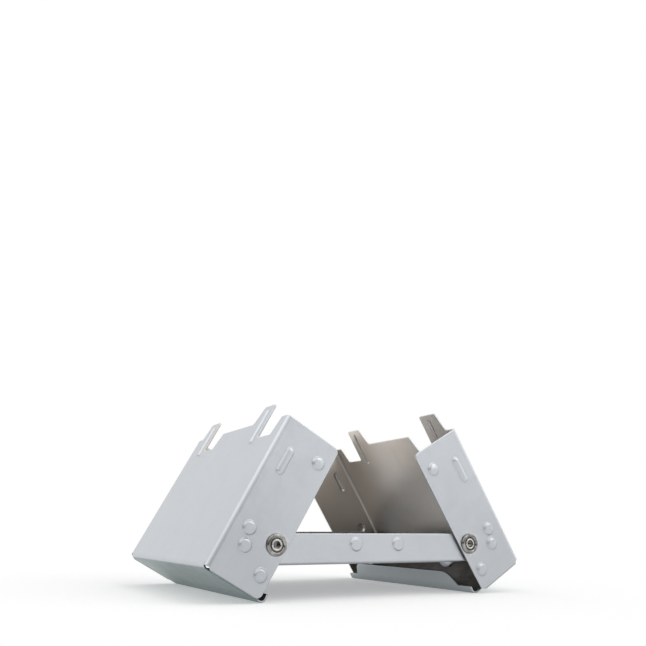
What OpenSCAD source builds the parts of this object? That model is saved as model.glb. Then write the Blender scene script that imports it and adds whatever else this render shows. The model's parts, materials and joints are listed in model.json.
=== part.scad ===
/* [Size] */
// Distance between the left and right pivot pins
pivot_span = 67.6; // [55:0.2:80]
// Width over the outside of the wing side plates
body_width = 77; // [60:0.5:95]
// Angle of the cooking position above folded flat
cook_angle = 60; // [56:1:62]

/* [Sheet] */
// Thickness of the wing sheet
wing_sheet = 0.5; // [0.4:0.05:0.8]
// Thickness of the tray sheet
tray_sheet = 0.5; // [0.4:0.05:0.6]
// Outside radius of the wing folds
wing_bend = 1.5; // [1:0.1:2.2]
// Outside radius of the tray folds
tray_bend = 1.1; // [0.8:0.1:1.6]
// Space between a tray side wall and the wing side plate outside it
side_gap = 0.65; // [0.6:0.05:1]

/* [Wing] */
// Pivot to the outside of the folded foot
wing_foot = 15.2; // [14.6:0.1:18]
// Pivot to the outside of the broad panel
panel_offset = 15.2; // [12:0.1:18]
// Pivot to the outside of the inward lip
lip_offset = 5.5; // [4.5:0.1:5.6]
// Pivot to the free edge of the side plate, at its foot end
free_edge_foot = 3.1; // [3:0.1:5]
// Pivot to the free edge of the side plate, at its top end
free_edge_top = 4.1; // [3:0.1:6]
// Open corner between the foot and the inside of each side plate
corner_gap = 1.4; // [1.1:0.1:3]
// Width of the slit that lets the foot fold free of the panel fold
fold_slit = 0.2; // [0.15:0.05:0.5]
// How far the panel fold runs on beside the start of the foot fold
fold_run = 0.7; // [0.2:0.1:1.2]

/* [Pot supports] */
// How far a support prong rises past the top edge
prong_height = 6.4; // [4:0.1:8]
// Straight flank of the first prong, from its side of the wing
first_flank = 14.8; // [13:0.1:18]
// Width of the first prong at its root
first_root = 9.7; // [8.6:0.1:10.2]
// Width of the first prong at its tip
first_tip = 8.1; // [5:0.1:8.4]
// Width of the second prong at its root
second_root = 9.8; // [8:0.1:11]
// Width of the second prong at its tip
second_tip = 7.5; // [5:0.1:8]

/* [Lip] */
// Height of the tall middle of the lip
lip_height = 7.8; // [6:0.1:8]
// Height of the low strip at each end of the lip
strip_height = 3; // [2.6:0.1:3.4]
// Length of each low strip
strip_length = 6.1; // [4:0.1:8]
// Length of the shoulder between a strip and the tall middle
shoulder_run = 2.9; // [2:0.1:4]
// Space round that shoulder to the ears of the tray, wings folded
ear_gap = 1.4; // [1:0.1:2]

/* [Pressed marks] */
// Radius of the ring of detent dimples about the pivot
detent_ring = 9.3; // [8:0.1:9.4]
// Pivot to the dimple that latches the folded wing
latch_reach = 26.4; // [24:0.1:28]
// Radius of a wing dimple at its base
dimple_base = 2.1; // [1.6:0.1:2.3]
// Height of a wing dimple
dimple_rise = 0.65; // [0.4:0.05:0.8]
// Radius of a tray bump at its base
bump_base = 2.1; // [1.4:0.1:2.3]
// Height of a tray bump
bump_rise = 0.5; // [0.3:0.05:0.5]
// Pivot to the middle of the stiffening bead in the side plate
bead_reach = 21.3; // [18:0.1:24]
// Height of that bead above the pivot line
bead_offset = 9.4; // [7:0.1:11]
// Length of that bead between the centres of its round ends
bead_length = 6.4; // [4:0.2:9]
// Half of the width of that bead
bead_half = 1.3; // [0.9:0.1:1.5]
// Height of that bead
bead_rise = 0.7; // [0.4:0.05:0.8]
// Half of the width of the rib up each prong
rib_half = 1.1; // [0.9:0.1:1.4]
// Height of the rib up each prong
rib_rise = 0.5; // [0.4:0.05:0.7]
// How far a rib stops below the tip of its prong
rib_tip_gap = 1.4; // [1:0.1:3]
// How far a rib starts below the floor of the slot
rib_root_gap = 1.9; // [0:0.1:3]
// Radius of the pressed feet under the tray
pad_radius = 2.6; // [2:0.1:3]
// Depth of the pressed feet under the tray
pad_drop = 2.2; // [1.2:0.1:2.4]
// Distance of the pressed feet from the outside of the side wall
pad_inset = 9.4; // [7:0.1:14]
// Distance of the pressed feet from the pivots, towards the middle
pad_setback = 0.6; // [0:0.1:3]

/* [Tray] */
// Underside of the tray plate below the pivots
tray_depth = 5.6; // [5.4:0.1:6.4]
// Top edge of the tray side walls above the pivots
wall_top = 3.1; // [3:0.1:5]

/* [Rivets] */
// Diameter of the hollow rivet shank
shank_d = 3.4; // [3:0.1:3.8]
// Diameter of the hole through the rivet
bore_d = 2; // [1.6:0.1:2.2]
// Diameter of the rolled outer head
head_d = 6.2; // [5.4:0.1:6.4]
// Diameter of the set inner head
set_d = 5.4; // [4.6:0.1:5.8]
// Radius of the rolled rim of the outer head
rim_r = 0.6; // [0.5:0.05:0.7]
// Thickness of the set inner head
set_h = 0.5; // [0.4:0.05:0.6]
// Height of the disc that the rim is rolled from
web_h = 0.2; // [0.15:0.05:0.3]
// Width and depth of the countersink at the inner end of the hole
lead_in = 0.3; // [0.2:0.05:0.35]

/* [Corners] */
// Radius of the side plate's corner at the foot
foot_corner = 2; // [1:0.1:2.4]
// Radius of the side plate's corner at the top
top_corner = 1.6; // [1:0.1:2.4]
// Depth of the relief step where the panel fold ends, at the foot
relief_drop = 0.7; // [0.5:0.1:2]
// Radius of the square corner of a prong tip
tip_round = 0.7; // [0.4:0.1:0.9]
// Radius of the leaning corner of a prong tip
tip_soft = 0.9; // [0.4:0.1:1.2]
// Radius at the root of a prong
root_round = 1.3; // [0.8:0.1:1.8]
// Radius in the floor of a slot
slot_round = 0.8; // [0.4:0.1:1]
// Radius at the mouth of a slot
mouth_round = 0.7; // [0.4:0.1:1]
// Radius of the shoulders of the lip
shoulder_round = 4.2; // [3:0.1:5]
// Radius of the corners of the low strip
strip_round = 0.6; // [0.3:0.1:1]
// Radius in the ears of the tray
ear_round = 3.4; // [2:0.1:4]
// Radius of the top corners of the tray side walls
wall_round = 2.4; // [1:0.1:3]

/* [Fits] */
// Space between the two top edges when both wings are folded flat
fold_gap = 0.6; // [0.4:0.1:1.2]
// Space between a prong and the slot it folds into
nest_gap = 0.6; // [0.5:0.1:1]
// Space between the tip of a prong and the floor of the slot it folds into
tip_gap = 0.4; // [0.3:0.1:1]
// Space a swinging lip keeps from the ends of the tray
swing_gap = 0.3; // [0.3:0.05:0.8]
// Radial running clearance of a wing on its rivet
pin_fit = 0.05; // [0.02:0.01:0.09]
// Space between a rivet head and the side plate under it
head_gap = 0.08; // [0.04:0.01:0.1]

/* [Show] */
// Which piece to build

/* [Hidden] */
$fn = 48;

half_width = body_width / 2;
half_span = pivot_span / 2;
half_foot = half_width - wing_sheet - corner_gap;
wing_top = half_span - fold_gap / 2;
fold_in = wing_foot - wing_bend;
lip_fold = lip_offset - wing_bend;
pivot_height = fold_in * sin(cook_angle) + lip_fold * cos(cook_angle) + wing_bend;
prong_tip = wing_top + prong_height;
slot_floor = pivot_span - prong_tip - tip_gap;
lip_reach = wing_foot - lip_height;
strip_reach = wing_foot - strip_height;
wall_out = half_width - wing_sheet - side_gap;
wall_in = wall_out - tray_sheet;
lip_swing = norm([lip_reach, lip_offset - wing_sheet]) - swing_gap;
strip_swing = norm([strip_reach, lip_offset - wing_sheet]) - swing_gap;
half_tray = half_span + sqrt(pow(strip_swing, 2) - pow(tray_depth, 2));
half_plate = half_span + sqrt(pow(lip_swing, 2) - pow(tray_depth, 2));
skirt = 8;
over = 1;
lap = 0.1;
press = 0.5;
bite = 0.15;
skim = 0.002;
steel = [0.74, 0.77, 0.80];
steel_tray = [0.70, 0.73, 0.76];
nickel = [0.86, 0.85, 0.82];

// Small web left between two edges at a corner and the circle that rounds it, which crosses each
// edge by the skim, so that the two meet in one clean point
module corner_web(p, a1, a2, r) {
  half = (a2 - a1) / 2;
  mid = (a1 + a2) / 2;
  run = r / tan(half) + bite;
  c = p + (r - skim) / sin(half) * [cos(mid), sin(mid)];
  q = p - bite * [cos(mid), sin(mid)];
  difference() {
    polygon([q, q + run * [cos(a1), sin(a1)], c, q + run * [cos(a2), sin(a2)]]);
    translate(c) circle(r = r);
  }
}

// Square end with two rounded corners on the low side
module round_end_rect(x0, x1, y0, y1, r) {
  translate([x0 + r, y0]) square([x1 - x0 - r, y1 - y0]);
  translate([x0, y0 + r]) square([x1 - x0, y1 - y0 - 2 * r]);
  translate([x0 + r, y0 + r]) circle(r = r);
  translate([x0 + r, y1 - r]) circle(r = r);
}

// Profile drawn along the wing and away from it, drawn out across the wing
module across(w) {
  rotate([90, 0, 0]) linear_extrude(height = w, center = true) children();
}

// Profile drawn across and away, drawn out along the length
module along(x0, x1) {
  translate([x0, 0, 0]) rotate([90, 0, 90]) linear_extrude(height = x1 - x0) children();
}

// Outline seen from above, drawn out through the whole height of a piece
module plan_cut() {
  translate([0, 0, -skirt - over]) linear_extrude(height = skirt + panel_offset + 3 * over) children();
}

// Panel with both side plates, before its outlines are cut
module wing_channel() {
  along(-wing_foot, prong_tip) difference() {
    union() {
      translate([-half_width, -skirt]) square([body_width, skirt + panel_offset - wing_bend]);
      translate([wing_bend - half_width, 0]) square([body_width - 2 * wing_bend, panel_offset]);
      translate([wing_bend - half_width, panel_offset - wing_bend]) circle(r = wing_bend);
      translate([half_width - wing_bend, panel_offset - wing_bend]) circle(r = wing_bend);
    }
    translate([wing_sheet - half_width, -skirt - over])
      square([body_width - 2 * wing_sheet, skirt + over + panel_offset - wing_bend]);
    translate([wing_bend - half_width, -skirt - over])
      square([body_width - 2 * wing_bend, skirt + over + panel_offset - wing_sheet]);
    translate([wing_bend - half_width, panel_offset - wing_bend]) circle(r = wing_bend - wing_sheet);
    translate([half_width - wing_bend, panel_offset - wing_bend]) circle(r = wing_bend - wing_sheet);
  }
}

// Outline of a side plate, with the prong band above it
module side_outline() {
  slope = atan((free_edge_top - free_edge_foot) / (wing_top + wing_foot));
  difference() {
    union() {
      polygon([
        [-wing_foot, -free_edge_foot],
        [wing_top, -free_edge_top],
        [wing_top, panel_offset + over],
        [-fold_in - fold_run, panel_offset + over],
        [-fold_in - fold_run, panel_offset - wing_bend + bite],
        [-wing_foot, panel_offset - wing_bend + bite - relief_drop]
      ]);
      translate([wing_top - over, panel_offset - wing_bend])
        square([prong_height + 2 * over, wing_bend + over]);
    }
    corner_web([-wing_foot, -free_edge_foot], -slope, 90, foot_corner);
    corner_web([wing_top, -free_edge_top], 90, 180 - slope, top_corner);
  }
}

// Plan outline of one prong, its straight flank at y = 0
module prong(root, tip) {
  lean = atan((root - tip) / prong_height);
  difference() {
    polygon([[wing_top - over, 0], [prong_tip, 0], [prong_tip, tip], [wing_top, root],
      [wing_top - over, root]]);
    corner_web([prong_tip, 0], 90, 180, tip_round);
    corner_web([prong_tip, tip], 180 - lean, 270, tip_soft);
  }
  corner_web([wing_top, root], -lean, 90, root_round);
}

// Plan outline of the slot that the other wing's prong folds into
module slot(root, tip) {
  mouth = 2 * nest_gap + root;
  floor_width = 2 * nest_gap + tip;
  lean = atan((mouth - floor_width) / (wing_top - slot_floor));
  difference() {
    polygon([[slot_floor, 0], [prong_tip + over, 0], [prong_tip + over, -over],
      [wing_top, -mouth], [slot_floor, -floor_width]]);
    corner_web([slot_floor, 0], -90, 0, slot_round);
    corner_web([slot_floor, -floor_width], -lean, 90, slot_round);
  }
  corner_web([wing_top, -mouth], 180 - lean, 270, mouth_round);
}

// Plan outline of the panel with its prongs and slots
module panel_outline() {
  first = half_width - first_flank;
  second = first_flank + nest_gap - half_width;
  difference() {
    union() {
      translate([-wing_foot - over, -half_width - over])
        square([wing_foot + over + wing_top, body_width + 2 * over]);
      translate([0, first]) prong(first_root, first_tip);
      translate([0, second]) prong(second_root, second_tip);
    }
    translate([0, first]) slot(second_root, second_tip);
    translate([0, second]) slot(first_root, first_tip);
    translate([-wing_foot - 2 * over, -half_foot - fold_slit])
      square([wing_foot + 2 * over - fold_in + lap, 2 * (half_foot + fold_slit)]);
  }
}

// Foot, its two folds and the inward lip
module wing_foot_fold() {
  intersection() {
    across(2 * half_foot) intersection() {
      difference() {
        round_end_rect(-wing_foot, 0, -lip_offset, panel_offset, wing_bend);
        round_end_rect(-wing_foot + wing_sheet, over, -lip_offset + wing_sheet,
          panel_offset - wing_sheet, wing_bend - wing_sheet);
      }
      union() {
        translate([-wing_foot - over, -lip_offset - over])
          square([over + wing_bend + 2 * lap, panel_offset + lip_offset + 2 * over]);
        translate([-wing_foot - over, -lip_offset - over]) square([wing_foot, 2 * over]);
      }
    }
    plan_cut() lip_outline();
  }
}

// Plan outline of the lip, tall in the middle and low at the ends
module lip_outline() {
  strip_end = half_foot - strip_length;
  tall_end = strip_end - shoulder_run;
  lean = atan(shoulder_run / (strip_reach - lip_reach));
  difference() {
    union() {
      translate([-wing_foot - over, -half_foot])
        square([wing_foot + over - strip_reach, 2 * half_foot]);
      polygon([[-strip_reach - over, -strip_end], [-strip_reach, -strip_end],
        [-lip_reach, -tall_end], [-lip_reach, tall_end],
        [-strip_reach, strip_end], [-strip_reach - over, strip_end]]);
    }
    corner_web([-lip_reach, tall_end], 180 - lean, 270, shoulder_round);
    corner_web([-lip_reach, -tall_end], 90, 180 + lean, shoulder_round);
    corner_web([-strip_reach, half_foot], 180, 270, strip_round);
    corner_web([-strip_reach, -half_foot], 90, 180, strip_round);
  }
}

// Pressed dimple with a flat crown, raised along +Z from a sheet whose face is at zero
module dimple_add(base, rise) {
  ball = base + press;
  intersection() {
    translate([0, 0, -sqrt(pow(ball, 2) - pow(base, 2))]) sphere(r = ball);
    translate([0, 0, -bite]) cylinder(h = rise + bite, r = ball);
  }
}

// Hollow behind a pressed dimple
module dimple_cut(base, rise, sheet) {
  ball = base + press;
  intersection() {
    translate([0, 0, -sqrt(pow(ball, 2) - pow(base, 2))]) sphere(r = ball - sheet);
    translate([0, 0, -sheet - over]) cylinder(h = rise + over, r = ball);
  }
}

// Places of the wing dimples: folded latch, upright, cooking and folded detents
module at_wing_dimples() {
  for (p = [[latch_reach, 0], [0, detent_ring],
    detent_ring * [-cos(cook_angle), sin(cook_angle)], [-detent_ring, 0]])
    for (side = [-1, 1])
      translate([p[0], side * half_width, p[1]]) rotate([-side * 90, 0, 0]) children();
}

// Radius of the round whose cap has this half width and this rise
function cap_round(half, rise) = (half * half + rise * rise) / (2 * rise);

// Bar with ball ends along X, its cap standing the rise above zero, less the skin
module round_bar(length, half, rise, skin) {
  round_r = cap_round(half, rise);
  translate([-length / 2, 0, rise - round_r]) rotate([0, 90, 0])
    cylinder(h = length, r = round_r - skin);
  translate([-length / 2, 0, rise - round_r]) sphere(r = round_r - skin);
  translate([length / 2, 0, rise - round_r]) sphere(r = round_r - skin);
}

// Long stiffening bead, raised along +Z from a sheet whose face is at zero
module bead_add(length, half, rise) {
  round_r = cap_round(half, rise);
  intersection() {
    round_bar(length, half, rise, 0);
    translate([-length / 2 - round_r, -round_r, -bite])
      cube([length + 2 * round_r, 2 * round_r, rise + 2 * bite]);
  }
}

// Places of the bead pressed into each side plate
module at_side_beads() {
  for (side = [-1, 1])
    translate([bead_reach, side * half_width, bead_offset]) rotate([-side * 90, 0, 0]) children();
}

// Places of the rib that runs up each prong from beside its slot
module at_prong_ribs() {
  middle = (slot_floor - rib_root_gap + prong_tip - rib_tip_gap) / 2;
  for (y = [half_width - first_flank + first_tip / 2,
    first_flank + nest_gap - half_width + second_tip / 2])
    translate([middle, y, panel_offset]) children();
}

// One wing in its own frame, pivot at the origin, panel facing up
module wing() {
  rib_length = prong_tip - rib_tip_gap - slot_floor + rib_root_gap - 2 * rib_half;
  difference() {
    union() {
      intersection() {
        wing_channel();
        across(body_width + 2 * over) side_outline();
        plan_cut() panel_outline();
      }
      wing_foot_fold();
      at_wing_dimples() dimple_add(dimple_base, dimple_rise);
      at_side_beads() bead_add(bead_length, bead_half, bead_rise);
      at_prong_ribs() bead_add(rib_length, rib_half, rib_rise);
    }
    rotate([90, 0, 0])
      cylinder(h = body_width + 2 * over, r = shank_d / 2 + pin_fit, center = true);
    at_wing_dimples() dimple_cut(dimple_base, dimple_rise, wing_sheet);
    at_side_beads() round_bar(bead_length, bead_half, bead_rise, wing_sheet);
    at_prong_ribs() round_bar(rib_length, rib_half, rib_rise, wing_sheet);
  }
}

// Plate and side walls of the tray, before its outlines are cut
module tray_channel() {
  r = tray_bend;
  q = tray_bend - tray_sheet;
  along(-half_tray, half_tray) difference() {
    union() {
      translate([-wall_out, r - tray_depth]) square([2 * wall_out, tray_depth + wall_top - r]);
      translate([r - wall_out, -tray_depth]) square([2 * (wall_out - r), tray_depth]);
      translate([r - wall_out, r - tray_depth]) circle(r = r);
      translate([wall_out - r, r - tray_depth]) circle(r = r);
    }
    translate([-wall_in, r - tray_depth]) square([2 * wall_in, tray_depth + wall_top]);
    translate([r - wall_out, tray_sheet - tray_depth])
      square([2 * (wall_out - r), tray_depth + wall_top]);
    translate([r - wall_out, r - tray_depth]) circle(r = q);
    translate([wall_out - r, r - tray_depth]) circle(r = q);
  }
}

// Plan outline of the tray, with the middle of each end set back
module tray_outline() {
  ear_end = half_foot - strip_length + ear_gap;
  mid_end = ear_end - shoulder_run;
  lean = atan(shoulder_run / (half_tray - half_plate));
  difference() {
    square([2 * half_tray, 2 * wall_out + 2 * over], center = true);
    for (turn = [0, 180]) rotate(turn) difference() {
      polygon([[half_plate, -mid_end], [half_tray, -ear_end], [half_tray + over, -ear_end],
        [half_tray + over, ear_end], [half_tray, ear_end], [half_plate, mid_end]]);
      corner_web([half_plate, mid_end], -90, lean, ear_round);
      corner_web([half_plate, -mid_end], -lean, 90, ear_round);
    }
  }
}

// Side outline of the tray, with the top corners of its walls rounded
module tray_side() {
  difference() {
    translate([-half_tray, -tray_depth - over])
      square([2 * half_tray, tray_depth + wall_top + over]);
    corner_web([half_tray, wall_top], 180, 270, wall_round);
    corner_web([-half_tray, wall_top], 270, 360, wall_round);
  }
}

// Places of the bumps pressed out of the tray side walls
module at_tray_bumps() {
  for (x = [half_span + detent_ring, half_span - latch_reach])
    for (end = [-1, 1])
      for (side = [-1, 1])
        translate([end * x, side * wall_out, 0]) rotate([-side * 90, 0, 0]) children();
}

// Places of the four pressed feet under the tray plate
module at_tray_pads() {
  for (end = [-1, 1])
    for (side = [-1, 1])
      translate([end * (half_span - pad_setback), side * (wall_out - pad_inset), -tray_depth])
        rotate([180, 0, 0]) children();
}

// Round-bottomed foot pressed down from the plate
module pad(sheet) {
  ball = cap_round(pad_radius, pad_drop);
  translate([0, 0, pad_drop - ball]) intersection() {
    sphere(r = ball - sheet);
    translate([0, 0, ball - pad_drop - tray_sheet]) cylinder(h = 2 * ball, r = ball);
  }
}

// Open tray that carries the fuel and both wings
module tray() {
  color(steel_tray) translate([0, 0, pivot_height]) difference() {
    union() {
      intersection() {
        tray_channel();
        plan_cut() tray_outline();
        across(2 * wall_out + 2 * over) tray_side();
      }
      at_tray_bumps() dimple_add(bump_base, bump_rise);
      at_tray_pads() pad(0);
    }
    at_tray_bumps() dimple_cut(bump_base, bump_rise, tray_sheet);
    at_tray_pads() pad(tray_sheet);
    for (x = [-half_span, half_span])
      translate([x, 0, 0]) rotate([90, 0, 0]) cylinder(h = body_width, d = shank_d, center = true);
  }
}

// Left wing, leaning up from the left pair of pivots
module left_wing() {
  color(steel) translate([-half_span, 0, pivot_height]) rotate([0, -cook_angle, 0]) wing();
}

// Right wing, the same pressing turned end for end
module right_wing() {
  color(steel) rotate([0, 0, 180]) translate([-half_span, 0, pivot_height])
    rotate([0, -cook_angle, 0]) wing();
}

// Hollow rivet, drawn about its axis with the outer face of the wing at zero
module rivet() {
  grip = half_width - wall_in;
  foot = -grip - set_h;
  lip_r = (shank_d - bore_d) / 4;
  crown = head_gap + rim_r;
  difference() {
    union() {
      translate([0, 0, foot]) cylinder(h = crown - lip_r - foot, d = shank_d);
      translate([0, 0, crown - lip_r]) rotate_extrude()
        translate([bore_d / 2 + lip_r, 0]) circle(r = lip_r);
      translate([0, 0, foot]) cylinder(h = set_h, d = set_d);
      translate([0, 0, head_gap]) cylinder(h = web_h, r = head_d / 2 - rim_r);
      translate([0, 0, head_gap]) rotate_extrude() translate([head_d / 2 - rim_r, 0])
        intersection() {
          translate([0, bite]) circle(r = rim_r);
          translate([-rim_r, 0]) square([2 * rim_r, 2 * rim_r]);
        }
    }
    translate([0, 0, foot - over]) cylinder(h = crown - foot + 2 * over, d = bore_d);
    translate([0, 0, foot]) cylinder(h = lead_in, d1 = bore_d + 2 * lead_in, d2 = bore_d);
  }
}

// Rivet through the front left pivot
module rivet_front_left() {
  color(nickel) translate([-half_span, -half_width, pivot_height]) rotate([90, 0, 0]) rivet();
}

// Rivet through the front right pivot
module rivet_front_right() {
  color(nickel) translate([half_span, -half_width, pivot_height]) rotate([90, 0, 0]) rivet();
}

// Rivet through the rear left pivot
module rivet_rear_left() {
  color(nickel) translate([-half_span, half_width, pivot_height]) rotate([-90, 0, 0]) rivet();
}

// Rivet through the rear right pivot
module rivet_rear_right() {
  color(nickel) translate([half_span, half_width, pivot_height]) rotate([-90, 0, 0]) rivet();
}

tray();
left_wing();
right_wing();
rivet_front_left();
rivet_front_right();
rivet_rear_left();
rivet_rear_right();
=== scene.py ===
import json
import math

import bpy
from mathutils import Matrix, Vector

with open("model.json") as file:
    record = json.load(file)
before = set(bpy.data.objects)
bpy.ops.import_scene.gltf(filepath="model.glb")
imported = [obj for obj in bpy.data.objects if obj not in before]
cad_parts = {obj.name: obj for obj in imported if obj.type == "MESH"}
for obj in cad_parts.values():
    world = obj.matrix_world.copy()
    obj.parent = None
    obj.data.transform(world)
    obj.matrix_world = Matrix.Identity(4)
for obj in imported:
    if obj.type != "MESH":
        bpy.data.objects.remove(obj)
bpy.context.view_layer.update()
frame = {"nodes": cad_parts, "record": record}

# The hinge of each wing, by the wing's name
HINGES = {joint["child"]: joint for joint in frame["record"]["behaviour"]["joints"]}

# Camera

LENS = 40.231
SENSOR = 36.0
SHIFT = (0.04308, 0.09983)
CLIP = (0.01, 20.0)
EYE = Vector((-0.12135, -0.22168, 0.02027))
YAW = 0.47022
PITCH = 0.19079
ROLL = 0.0055


def make_camera():
    """The camera at the photograph's viewing angle."""
    data = bpy.data.cameras.new("camera")
    data.lens = LENS
    data.sensor_width = SENSOR
    data.shift_x, data.shift_y = SHIFT
    data.clip_start, data.clip_end = CLIP
    camera = bpy.data.objects.new("camera", data)
    bpy.context.scene.collection.objects.link(camera)
    turn = (
        Matrix.Rotation(-YAW, 4, "Z")
        @ Matrix.Rotation(math.pi / 2 + PITCH, 4, "X")
        @ Matrix.Rotation(ROLL, 4, "Z")
    )
    camera.matrix_world = Matrix.Translation(EYE) @ turn
    bpy.context.scene.camera = camera


# Node helper


class Graph:
    """Adds nodes to a tree and links them. Each value may be a socket or a plain number."""

    def __init__(self, tree):
        self.tree = tree
        tree.nodes.clear()

    def add(self, kind, ins=None, out=0, **props):
        """A node with its inputs set. Gives the named output, or the node itself for None."""
        node = self.tree.nodes.new(kind)
        for key, value in props.items():
            setattr(node, key, value)
        for key, value in (ins or {}).items():
            socket = node.inputs[key]
            if isinstance(value, bpy.types.NodeSocket):
                self.tree.links.new(value, socket)
            else:
                socket.default_value = value
        return node if out is None else node.outputs[out]

    def math(self, operation, a, b=0.0, c=0.0):
        return self.add("ShaderNodeMath", {0: a, 1: b, 2: c}, operation=operation)

    def product(self, first, *rest):
        for value in rest:
            first = self.math("MULTIPLY", first, value)
        return first

    def largest(self, first, *rest):
        for value in rest:
            first = self.math("MAXIMUM", first, value)
        return first

    def gain(self, value, mask, share):
        """A value with a share of a mask added."""
        return self.math("MULTIPLY_ADD", mask, share, value)

    def lean(self, value, noise, share):
        """A value moved up or down by a share of a noise whose middle is one half."""
        return self.gain(value, self.math("SUBTRACT", noise, 0.5), share)

    def span(self, value, lo, hi, to_lo=0.0, to_hi=1.0, smooth=False):
        """Maps lo to to_lo and hi to to_hi, and holds those ends beyond them."""
        kind = "SMOOTHSTEP" if smooth else "LINEAR"
        ins = {"Value": value, "From Min": lo, "From Max": hi, "To Min": to_lo, "To Max": to_hi}
        return self.add("ShaderNodeMapRange", ins, interpolation_type=kind)

    def vec(self, operation, a, b=(0, 0, 0), out="Vector"):
        return self.add("ShaderNodeVectorMath", {0: a, 1: b}, out, operation=operation)

    def dot(self, a, b):
        return self.vec("DOT_PRODUCT", a, b, "Value")

    def length(self, vector, kept):
        """Length of a vector along the axes that are kept."""
        return self.vec("LENGTH", self.vec("MULTIPLY", vector, kept), out="Value")

    def axis(self, vector, name):
        return self.add("ShaderNodeSeparateXYZ", {"Vector": vector}, name)

    def place(self, vector, shift=(0, 0, 0), turn=(0, 0, 0), stretch=(1, 1, 1)):
        """The space that a texture is read in: stretched, then turned and shifted."""
        ins = {"Vector": vector, "Location": shift, "Rotation": turn, "Scale": stretch}
        return self.add("ShaderNodeMapping", ins)

    def noise(self, vector, scale, detail, rough, out="Fac"):
        ins = {"Vector": vector, "Scale": scale, "Detail": detail, "Roughness": rough}
        return self.add("ShaderNodeTexNoise", ins, out)

    def mix(self, factor, a, b):
        """Mixes two colours, which are sockets 6 and 7 of the node, with the result at 2."""
        return self.add("ShaderNodeMix", {0: factor, 6: a, 7: b}, 2, data_type="RGBA")

    def air(self, reach, samples, own=False):
        """How open a place is within reach, 1 in the open. With own, only its own piece counts."""
        ins = {"Distance": reach}
        return self.add("ShaderNodeAmbientOcclusion", ins, "AO", samples=samples, only_local=own)

    def bevel(self, radius, samples):
        """The normals of edges that are rounded by a radius."""
        return self.add("ShaderNodeBevel", {"Radius": radius}, samples=samples)

    def metal(self, colour, rough, normal, height, depth):
        """Ends a material as bare metal, with a fine relief as deep as depth."""
        ins = {"Strength": 1.0, "Distance": depth, "Height": height, "Normal": normal}
        relief = self.add("ShaderNodeBump", ins)
        ins = {"Base Color": colour, "Metallic": 1.0, "Roughness": rough, "Normal": relief}
        shader = self.add("ShaderNodeBsdfPrincipled", ins)
        self.add("ShaderNodeOutputMaterial", {"Surface": shader}, None)


def rgb(r, g, b):
    return (r, g, b, 1.0)


def new_material(name):
    material = bpy.data.materials.new(name)
    material.use_nodes = True
    return material, Graph(material.node_tree)


def hinge_rings(g, spot, inner, outer):
    """Mask of a ring round each hinge line, that fades in over inner and out over outer."""
    rings = []
    for hinge in HINGES.values():
        reach = g.length(g.vec("SUBTRACT", spot, hinge["pos_m"]), (1, 0, 1))
        rings.append(g.product(g.span(reach, *inner), g.span(reach, *outer)))
    return g.largest(*rings)


# Zinc-coated steel

# A noise is given as its scale, detail and roughness, and a span as in Graph.span. Places are in
# metres. On a wing, rise is the distance up the panel from the hinge line, out the distance from
# that line towards the panel's outer side, and across the distance from the middle of the stove.

STEEL_LOW = rgb(0.52, 0.545, 0.572)
STEEL_HIGH = rgb(0.585, 0.61, 0.638)
STEEL_BARE = rgb(0.74, 0.75, 0.76)
# painted shade: the grey that seams, creases, the lower side plates and the tray's underside are
# darkened towards
STEEL_PAINTED_SHADE = rgb(0.16, 0.17, 0.17)
# painted light: the warm glow of the flame on the inner sides of a wing
STEEL_PAINTED_GLOW = rgb(0.75, 0.675, 0.595)
# soot, and painted shade in the closed-in pockets
STEEL_SOOT_AND_SHADE = rgb(0.054, 0.045, 0.040)
# painted shade on the foot and lip of a wing
STEEL_FOOT_SHADE = rgb(0.245, 0.305, 0.302)
STEEL_STAIN = rgb(0.24, 0.21, 0.18)

# A wing's sheet, the inner face of its side plates, how far its foot reaches down from the hinge
# line, and where its lip starts
SHEET = 0.0005
PLATE_IN = 0.0380
FOOT_REACH = 0.0152
LIP_LINE = -0.0046

# Spangle, clouds and rolling grain, and how far shade, cloud, mottle and grain move the tone
SEED_STEPS = (1.0, 0.7, 1.3)
SPANGLE_SCALE = 420.0
SPANGLE_BEND = (260.0, 2.0, 0.5)
BEND_REACH = (0.0022, 0.0022, 0.0022)
CLOUD = (55.0, 3.0, 0.55)
MOTTLE = (900.0, 3.0, 0.6)
GRAIN = (1.0, 2.0, 0.55)
GRAIN_STRETCH = (70.0, 2400.0, 2400.0)
TONE_MIDDLE = 0.5
TONE_SHARES = (0.16, 1.1, 0.5, 0.5)

# Edges rubbed bright, and painted shade, with some grime, in the seams between pieces and in the
# folds of one piece
MASK_SAMPLES = 8
EDGE_RADIUS = 0.0005
EDGE_SAMPLES = 6
EDGE_TURN = (0.985, 0.86)
EDGE_SHINE = 0.8
CHIPS = (620.0, 4.0, 0.65)
CHIP_SPAN = (0.38, 0.62, 0.3, 1.0)
SEAM_REACH = 0.0035
SEAM_SPAN = (0.75, 0.15, 0.0, 0.45)
CREASE_REACH = 0.0014
CREASE_SPAN = (0.96, 0.62, 0.0, 0.30)

# Soot and painted shade in the pockets, most of all in the foot of a wing
POCKET_REACH = 0.022
POCKET_SHADE_SPAN = (0.46, 0.12, 0.0, 0.95)
POCKET_SHADE_PATCHES = (130.0, 4.0, 0.6)
POCKET_SHADE_PATCH_SPAN = (0.3, 0.7, 0.85, 1.0)
DEEP_RISE = (-0.002, -0.010, 0.0, 0.60)
DEEP_ACROSS = (PLATE_IN - 0.0004, PLATE_IN - 0.0010)
DEEP_AIR = (0.96, 0.80)

# Painted warm glow of the flame on the inner sides of a wing, down to its lip
INNER_TURN = (-0.5, -0.9)
GLOW_ACROSS = (PLATE_IN + SHEET / 2, PLATE_IN + SHEET / 2 - 0.0002)
GLOW_OUT = (LIP_LINE, LIP_LINE + 0.0004)
GLOW_SPAN = (0.25, 0.75, 0.6, 0.9)
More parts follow.
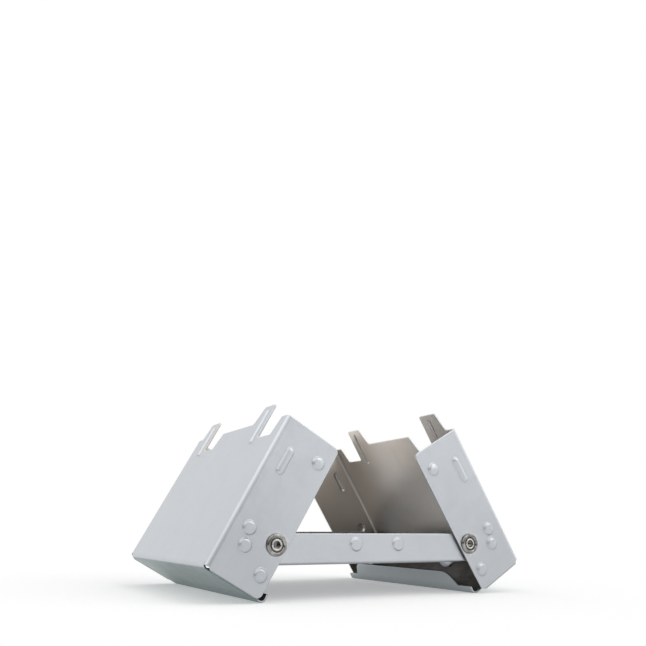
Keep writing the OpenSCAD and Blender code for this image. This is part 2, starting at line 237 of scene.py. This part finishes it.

# Painted shade on the foot and lip of a wing, and its side plates painted darker towards the
# ground
FOOT_RISE = (0.0004 - FOOT_REACH, 0.0001 - FOOT_REACH)
LIP_OUT = (LIP_LINE, LIP_LINE - 0.0004, 0.0, 0.3)
FOOT_SHADE_PATCHES = (210.0, 4.0, 0.6)
FOOT_SHADE_SPAN = (0.2, 0.8, 0.80, 1.0)
GROUND_SHADE_RISE = (0.022, -FOOT_REACH, 0.0, 0.14)
GROUND_SHADE_ACROSS = (PLATE_IN - 0.0010, PLATE_IN)

# Painted shade on the underside of the tray, and the stain on its floor
UNDER_SHADE_SPAN = (-0.30, -0.85, 0.0, 0.55)
STAIN_SPAN = (0.038, 0.004)
STAIN_EDGE = (110.0, 4.0, 0.6)
STAIN_FRAY = 0.022
STAIN_UP = (0.5, 0.9, 0.0, 0.45)

# Rings rubbed by the rivet heads
RUB_INNER = (0.0030, 0.0033)
RUB_OUTER = (0.0041, 0.0035)
RUB_SPAN = (0.4, 0.6, 0.0, 0.35)

# Roughness, and how far shade, grain and cloud move it
ROUGH_MIDDLE = 0.38
ROUGH_SHARES = (0.07, 0.16, 0.12)
ROUGH_WORN = -0.10
ROUGH_DIRT_AND_SHADE = 0.25

# Relief of peel, grain and scratches, each scratch field by its angle and its shift
PEEL = (480.0, 3.0, 0.55)
GRAIN_HEIGHT = 0.25
SCRATCH = (1.0, 1.0, 0.5)
SCRATCH_FIELDS = ((0.5, 3.1), (-0.9, 7.7))
SCRATCH_STRETCH = (22.0, 1500.0, 1500.0)
SCRATCH_SPAN = (0.71, 0.76)
SCRATCH_HEIGHT = -0.5
STEEL_RELIEF = 0.000012
FOLD_RADIUS = 0.00035
FOLD_SAMPLES = 8


class Sheet:
    """Zinc-coated sheet with the marks of use, painted shade, and on a wing a painted glow. Its
    grain lies along the sheet, at a tilt.
    """

    def __init__(self, name, seed, tilt=0.0):
        self.material, self.g = new_material(name)
        g = self.g
        self.spot = g.add("ShaderNodeTexCoord", out="Object")
        self.face = g.add("ShaderNodeTexCoord", out="Normal")
        self.flat = g.place(self.spot, [seed * step for step in SEED_STEPS], (0, tilt, 0))
        # spangle a few millimetres across, its cells bent by a slow noise
        sway = g.vec("MULTIPLY", g.noise(self.flat, *SPANGLE_BEND, "Color"), BEND_REACH)
        ins = {"Vector": g.vec("ADD", self.flat, sway), "Scale": SPANGLE_SCALE}
        cell = g.add("ShaderNodeTexVoronoi", ins, "Color")
        self.shade = g.add("ShaderNodeSeparateColor", {"Color": cell}, "Red")
        self.cloud = g.noise(self.flat, *CLOUD)
        self.mottle = g.noise(self.flat, *MOTTLE)
        self.grain = g.noise(g.vec("MULTIPLY", self.flat, GRAIN_STRETCH), *GRAIN)

    def zinc(self):
        tone = TONE_MIDDLE
        noises = (self.shade, self.cloud, self.mottle, self.grain)
        for noise, share in zip(noises, TONE_SHARES):
            tone = self.g.lean(tone, noise, share)
        return self.g.mix(tone, STEEL_LOW, STEEL_HIGH)

    def rub_edges(self, colour):
        """Sheared and folded edges are rubbed bright, here and there."""
        g = self.g
        face = g.add("ShaderNodeNewGeometry", out="Normal")
        edge = g.span(g.dot(g.bevel(EDGE_RADIUS, EDGE_SAMPLES), face), *EDGE_TURN, smooth=True)
        worn = g.product(edge, g.span(g.noise(self.flat, *CHIPS), *CHIP_SPAN))
        return g.mix(g.product(worn, EDGE_SHINE), colour, STEEL_BARE), worn

    def shade_seams(self, colour):
        """Painted shade where two faces meet and in creases, and the seams a little grimy."""
        g = self.g
        seam = g.span(g.air(SEAM_REACH, MASK_SAMPLES), *SEAM_SPAN)
        crease = g.span(g.air(CREASE_REACH, MASK_SAMPLES, own=True), *CREASE_SPAN)
        # painted shade: darker where faces meet and in creases, with some grime in the seams
        grime_and_shade = g.largest(seam, crease)
        return g.mix(grime_and_shade, colour, STEEL_PAINTED_SHADE), grime_and_shade

    def painted_glow(self, colour):
        """A sheet has no painted glow, unless it is a wing."""
        return colour

    def openness(self):
        """How open a place in the folded sheet is, 1 in the open."""
        return self.g.air(POCKET_REACH, MASK_SAMPLES, own=True)

    def shade_pockets(self, colour):
        """Soot and painted shade gather in the folded pockets."""
        g = self.g
        patches = g.span(g.noise(self.flat, *POCKET_SHADE_PATCHES), *POCKET_SHADE_PATCH_SPAN)
        # painted shade, with soot: darker where the folded sheet is closed in
        soot_and_shade = g.product(g.span(self.openness(), *POCKET_SHADE_SPAN), patches)
        return g.mix(soot_and_shade, colour, STEEL_SOOT_AND_SHADE), soot_and_shade

    def mark_and_shade(self, colour):
        """The marks and painted shade of one kind of sheet."""
        return colour

    def rub_rings(self, colour):
        """A faint ring shows where each rivet head turns on the sheet."""
        g = self.g
        rings = hinge_rings(g, self.spot, RUB_INNER, RUB_OUTER)
        return g.mix(g.product(rings, g.span(self.mottle, *RUB_SPAN)), colour, STEEL_BARE)

    def roughness(self, worn, dirt_and_shade):
        g = self.g
        rough = ROUGH_MIDDLE
        for noise, share in zip((self.shade, self.grain, self.cloud), ROUGH_SHARES):
            rough = g.lean(rough, noise, share)
        return g.gain(g.gain(rough, worn, ROUGH_WORN), dirt_and_shade, ROUGH_DIRT_AND_SHADE)

    def relief(self):
        """Height of the coating's peel, the grain and a few long scratches from handling."""
        g = self.g
        height = g.gain(g.noise(self.flat, *PEEL), self.grain, GRAIN_HEIGHT)
        for angle, shift in SCRATCH_FIELDS:
            slant = g.place(self.flat, (shift, shift, shift), (0, 0, angle))
            slant = g.place(slant, turn=(angle, angle / 2, 0), stretch=SCRATCH_STRETCH)
            lines = g.span(g.noise(slant, *SCRATCH), *SCRATCH_SPAN)
            height = g.gain(height, lines, SCRATCH_HEIGHT)
        return height

    def finished(self):
        """The material, layer over layer from the bare zinc up."""
        g = self.g
        colour = self.zinc()
        colour, worn = self.rub_edges(colour)
        colour, grime_and_shade = self.shade_seams(colour)
        colour = self.painted_glow(colour)
        colour, soot_and_shade = self.shade_pockets(colour)
        colour = self.mark_and_shade(colour)
        colour = self.rub_rings(colour)
        rough = self.roughness(worn, g.largest(grime_and_shade, soot_and_shade))
        g.metal(colour, rough, g.bevel(FOLD_RADIUS, FOLD_SAMPLES), self.relief(), STEEL_RELIEF)
        return self.material


class Wing(Sheet):
    """The sheet of a wing: a painted warm glow inside, sooty with painted shade down in its foot,
    and painted shade on its foot and lip where it stands.
    """

    def __init__(self, name, seed, hinge):
        # the hinge's lower limit folds the wing flat, so at rest its panel stands up by that angle
        tilt = -math.radians(hinge["range_deg"][0])
        inward = -math.copysign(1.0, hinge["pos_m"][0])
        super().__init__(name, seed, inward * tilt)
        g = self.g
        up_panel = (inward * math.cos(tilt), 0.0, math.sin(tilt))
        self.off_panel = (-inward * math.sin(tilt), 0.0, math.cos(tilt))
        arm = g.vec("SUBTRACT", self.spot, hinge["pos_m"])
        self.rise = g.dot(arm, up_panel)
        self.out = g.dot(arm, self.off_panel)
        self.side = g.axis(self.spot, "Y")
        self.across = g.math("ABSOLUTE", self.side)

    def painted_glow(self, colour):
        """A painted warm glow of the flame lies on the inner sides of the panel and of the side
        plates.
        """
        g = self.g
        plate_turn = g.product(g.axis(self.face, "Y"), g.math("SIGN", self.side))
        panel = g.span(g.dot(self.face, self.off_panel), *INNER_TURN)
        panel = g.product(panel, g.span(self.across, *GLOW_ACROSS))
        inner = g.largest(g.span(plate_turn, *INNER_TURN), panel)
        # painted warm light of the flame on the inner sides
        painted_glow = g.product(inner, g.span(self.out, *GLOW_OUT), g.span(self.cloud, *GLOW_SPAN))
        return g.mix(painted_glow, colour, STEEL_PAINTED_GLOW)

    def openness(self):
        """Down in the foot, a place counts as less open than it is, so that its painted shade is
        deeper.
        """
        g = self.g
        air = super().openness()
        deep = g.product(
            g.span(self.rise, *DEEP_RISE, smooth=True),
            g.span(self.across, *DEEP_ACROSS),
            g.span(air, *DEEP_AIR),
        )
        return g.math("SUBTRACT", air, deep)

    def mark_and_shade(self, colour):
        """The foot and, a little, the lip get a painted shade, and the side plates are painted
        darker towards the ground.
        """
        g = self.g
        low = g.largest(g.span(self.rise, *FOOT_RISE, smooth=True), g.span(self.out, *LIP_OUT))
        # painted shade on the foot and the lip
        foot_shade = g.product(low, g.span(g.noise(self.flat, *FOOT_SHADE_PATCHES), *FOOT_SHADE_SPAN))
        colour = g.mix(foot_shade, colour, STEEL_FOOT_SHADE)
        # painted shade: the side plates darker towards the ground
        ground_shade = g.span(self.rise, *GROUND_SHADE_RISE, smooth=True)
        ground_shade = g.product(ground_shade, g.span(self.across, *GROUND_SHADE_ACROSS))
        return g.mix(ground_shade, colour, STEEL_PAINTED_SHADE)


class Tray(Sheet):
    """The sheet of the tray: painted shade below, with a brown stain in the middle of its floor.
    """

    def mark_and_shade(self, colour):
        g = self.g
        up = g.axis(self.face, "Z")
        # painted shade: faces turned down are darker
        colour = g.mix(g.span(up, *UNDER_SHADE_SPAN), colour, STEEL_PAINTED_SHADE)
        reach = g.length(self.spot, (1, 1, 0))
        reach = g.lean(reach, g.noise(self.flat, *STAIN_EDGE), STAIN_FRAY)
        stain = g.product(g.span(reach, *STAIN_SPAN, smooth=True), g.span(up, *STAIN_UP))
        return g.mix(stain, colour, STEEL_STAIN)


# Nickel of the rivets

NICKEL_BASE = rgb(0.39, 0.38, 0.362)
NICKEL_DULL = rgb(0.15, 0.144, 0.135)
# painted highlight on the lip round each rivet's hole
NICKEL_HIGHLIGHT = rgb(0.56, 0.545, 0.52)
NICKEL_GRIME = rgb(0.03, 0.028, 0.026)

# Fine and broad patches, the painted highlight on the lip from its hole outwards, and grime in the
# groove round it
NICKEL_FINE = (2600.0, 3.0, 0.6)
NICKEL_BROAD = (500.0, 2.0, 0.5)
NICKEL_TONE = (0.35, 0.65)
HOLE_INNER = (0.0011, 0.0012)
HOLE_OUTER = (0.0018, 0.0016)
GROOVE_REACH = 0.0009
GROOVE_SAMPLES = 12
GROOVE_SPAN = (0.85, 0.35)
GROOVE_PATCHES = (0.25, 0.6, 0.55, 0.95)

# Roughness, what fine patches and grime add to it, and the relief
NICKEL_ROUGH = 0.04
NICKEL_ROUGH_FINE = 0.12
NICKEL_ROUGH_GRIME = 0.35
NICKEL_RELIEF = 0.000006
ROLL_RADIUS = 0.00008
ROLL_SAMPLES = 4


def rivet_nickel(name):
    """Nickel plate, matt and patchy, with a painted highlight on the lip of the hole and a grimy
    groove.
    """
    material, g = new_material(name)
    spot = g.add("ShaderNodeTexCoord", out="Object")
    fine = g.noise(spot, *NICKEL_FINE)
    broad = g.noise(spot, *NICKEL_BROAD)
    groove = g.span(g.air(GROOVE_REACH, GROOVE_SAMPLES), *GROOVE_SPAN)
    grime_and_shade = g.product(groove, g.span(broad, *GROOVE_PATCHES))
    colour = g.mix(g.span(broad, *NICKEL_TONE), NICKEL_BASE, NICKEL_DULL)
    # painted highlight: a brighter lip round each hole
    colour = g.mix(hinge_rings(g, spot, HOLE_INNER, HOLE_OUTER), colour, NICKEL_HIGHLIGHT)
    colour = g.mix(grime_and_shade, colour, NICKEL_GRIME)
    rough = g.gain(NICKEL_ROUGH, fine, NICKEL_ROUGH_FINE)
    rough = g.gain(rough, grime_and_shade, NICKEL_ROUGH_GRIME)
    g.metal(colour, rough, g.bevel(ROLL_RADIUS, ROLL_SAMPLES), fine, NICKEL_RELIEF)
    return material


# Smooth shading

MERGE_REACH = 2e-7
SHARP = math.radians(40)
EVEN_WEIGHT = 50


def shading_group():
    """Joins the faces of a solid and keeps its real edges sharp, with no point moved."""
    tree = bpy.data.node_groups.new("smooth_folds", "GeometryNodeTree")
    for way in ("INPUT", "OUTPUT"):
        tree.interface.new_socket("Geometry", in_out=way, socket_type="NodeSocketGeometry")
    g = Graph(tree)
    ins = {"Geometry": g.add("NodeGroupInput"), "Distance": MERGE_REACH}
    joined = g.add("GeometryNodeMergeByDistance", ins)
    ins = {"Geometry": joined, "Shade Smooth": True}
    smooth = g.add("GeometryNodeSetShadeSmooth", ins, domain="FACE")
    ins = {0: g.add("GeometryNodeInputMeshEdgeAngle", out="Unsigned Angle"), 1: SHARP}
    sharp = g.add("FunctionNodeCompare", ins, operation="GREATER_THAN", data_type="FLOAT")
    ins = {"Geometry": smooth, "Selection": sharp, "Shade Smooth": False}
    edged = g.add("GeometryNodeSetShadeSmooth", ins, domain="EDGE")
    g.add("NodeGroupOutput", {0: edged}, None)
    return tree


def dress_node(name, material, group):
    """Gives a CAD node its material and its smooth shading."""
    node = frame["nodes"][name]
    node.data.materials.clear()
    node.data.materials.append(material)
    folds = node.modifiers.new("smooth_folds", "NODES")
    folds.node_group = group
    even = node.modifiers.new("even_normals", "WEIGHTED_NORMAL")
    even.mode = "FACE_AREA"
    even.weight = EVEN_WEIGHT
    even.keep_sharp = True


# Floor

WHITE = rgb(1.0, 1.0, 1.0)
FLOOR_RADIUS = 4.0
FLOOR_CORNERS = 64
FLOOR_TONE = rgb(0.95, 0.95, 0.95)
FLOOR_LIFT = 0.31


def seen_rays(g):
    """1 for the rays of the camera and of mirror and glass paths, 0 for the rest."""
    path = g.add("ShaderNodeLightPath", out=None)
    kinds = ("Is Camera Ray", "Is Glossy Ray", "Is Transmission Ray")
    return g.largest(*[path.outputs[kind] for kind in kinds])


def make_floor():
    """A matt pale floor, lifted to white for the rays that see it."""
    turns = [2 * math.pi * i / FLOOR_CORNERS for i in range(FLOOR_CORNERS)]
    ring = [(FLOOR_RADIUS * math.cos(turn), FLOOR_RADIUS * math.sin(turn), 0.0) for turn in turns]
    mesh = bpy.data.meshes.new("floor")
    mesh.from_pydata(ring, [], [list(range(FLOOR_CORNERS))])
    floor = bpy.data.objects.new("floor", mesh)
    bpy.context.scene.collection.objects.link(floor)
    material, g = new_material("floor")
    matt = g.add("ShaderNodeBsdfDiffuse", {"Color": FLOOR_TONE})
    ins = {"Color": WHITE, "Strength": g.product(seen_rays(g), FLOOR_LIFT)}
    both = g.add("ShaderNodeAddShader", {0: matt, 1: g.add("ShaderNodeEmission", ins)})
    g.add("ShaderNodeOutputMaterial", {"Surface": both}, None)
    mesh.materials.append(material)


# World and suns

# The level that lights matt surfaces, and the white backdrop by how far back a direction points
WORLD_FILL = 0.60
BACKDROP = (-0.75, 0.35, 0.86, 1.0)

# Soft lights above, right and high on the left: the way to each, where it starts, where it is
# full, and its strength
SOFT_LIGHTS = (
    ((0.0, 0.0, 1.0), 0.40, 0.90, 0.24),
    ((1.0, 0.0, 0.0), 0.82, 0.98, 0.60),
    ((-0.57, -0.12, 0.81), 0.80, 0.97, 0.38),
)

# Dark cards, front left and behind right, draw the folds against the white. They are given as the
# lights are, and stay low: they fade in as a direction sinks through CARD_HEIGHT
DARK_CARDS = (
    ((-0.80, -0.60, 0.0), 0.25, 0.85, 0.80),
    ((0.80, 0.60, 0.0), 0.80, 0.95, 0.85),
)
CARD_HEIGHT = (0.40, 0.12)

# Suns: the way to each, its spread in degrees and its strength
SUNS = {
    "key": ((0.50, -0.55, 0.60), 50, 0.55),
    "rim": ((-0.70, 0.25, 0.55), 60, 0.12),
}


def make_world():
    """A white studio that mirrors in the metal, and one plain level for all other light."""
    world = bpy.data.worlds.new("world")
    bpy.context.scene.world = world
    world.use_nodes = True
    g = Graph(world.node_tree)
    way = g.add("ShaderNodeTexCoord", out="Generated")
    studio = g.span(g.axis(way, "Y"), *BACKDROP, smooth=True)
    for side, start, full, power in SOFT_LIGHTS:
        light = g.span(g.dot(way, side), start, full, 0.0, power, smooth=True)
        studio = g.math("ADD", studio, light)
    low = g.span(g.axis(way, "Z"), *CARD_HEIGHT, smooth=True)
    for side, start, full, depth in DARK_CARDS:
        card = g.product(g.span(g.dot(way, side), start, full, smooth=True), low)
        studio = g.product(studio, g.gain(1.0, card, -depth))
    # the camera itself sees plain white
    camera = g.add("ShaderNodeLightPath", out="Is Camera Ray")
    mirrored = g.add("ShaderNodeMix", {0: camera, 2: studio, 3: 1.0})
    level = g.span(seen_rays(g), 0.0, 1.0, WORLD_FILL, mirrored)
    back = g.add("ShaderNodeBackground", {"Color": WHITE, "Strength": level})
    g.add("ShaderNodeOutputWorld", {"Surface": back}, None)


def make_suns():
    for name, (way, spread, power) in SUNS.items():
        data = bpy.data.lights.new(name, "SUN")
        data.angle = math.radians(spread)
        data.energy = power
        sun = bpy.data.objects.new(name, data)
        sun.rotation_mode = "QUATERNION"
        sun.rotation_quaternion = Vector(way).to_track_quat("Z", "Y")
        bpy.context.scene.collection.objects.link(sun)


# Build

make_camera()
sheets = {
    "left_wing": Wing("zinc_left_wing", seed=0.0, hinge=HINGES["left_wing"]).finished(),
    "right_wing": Wing("zinc_right_wing", seed=2.0, hinge=HINGES["right_wing"]).finished(),
    "tray": Tray("zinc_tray", seed=5.0).finished(),
}
nickel = rivet_nickel("nickel_rivet")
smooth_folds = shading_group()
for node_name in frame["nodes"]:
    dress_node(node_name, sheets.get(node_name, nickel), smooth_folds)
make_floor()
make_world()
make_suns()
bpy.context.scene.view_settings.view_transform = "Standard"
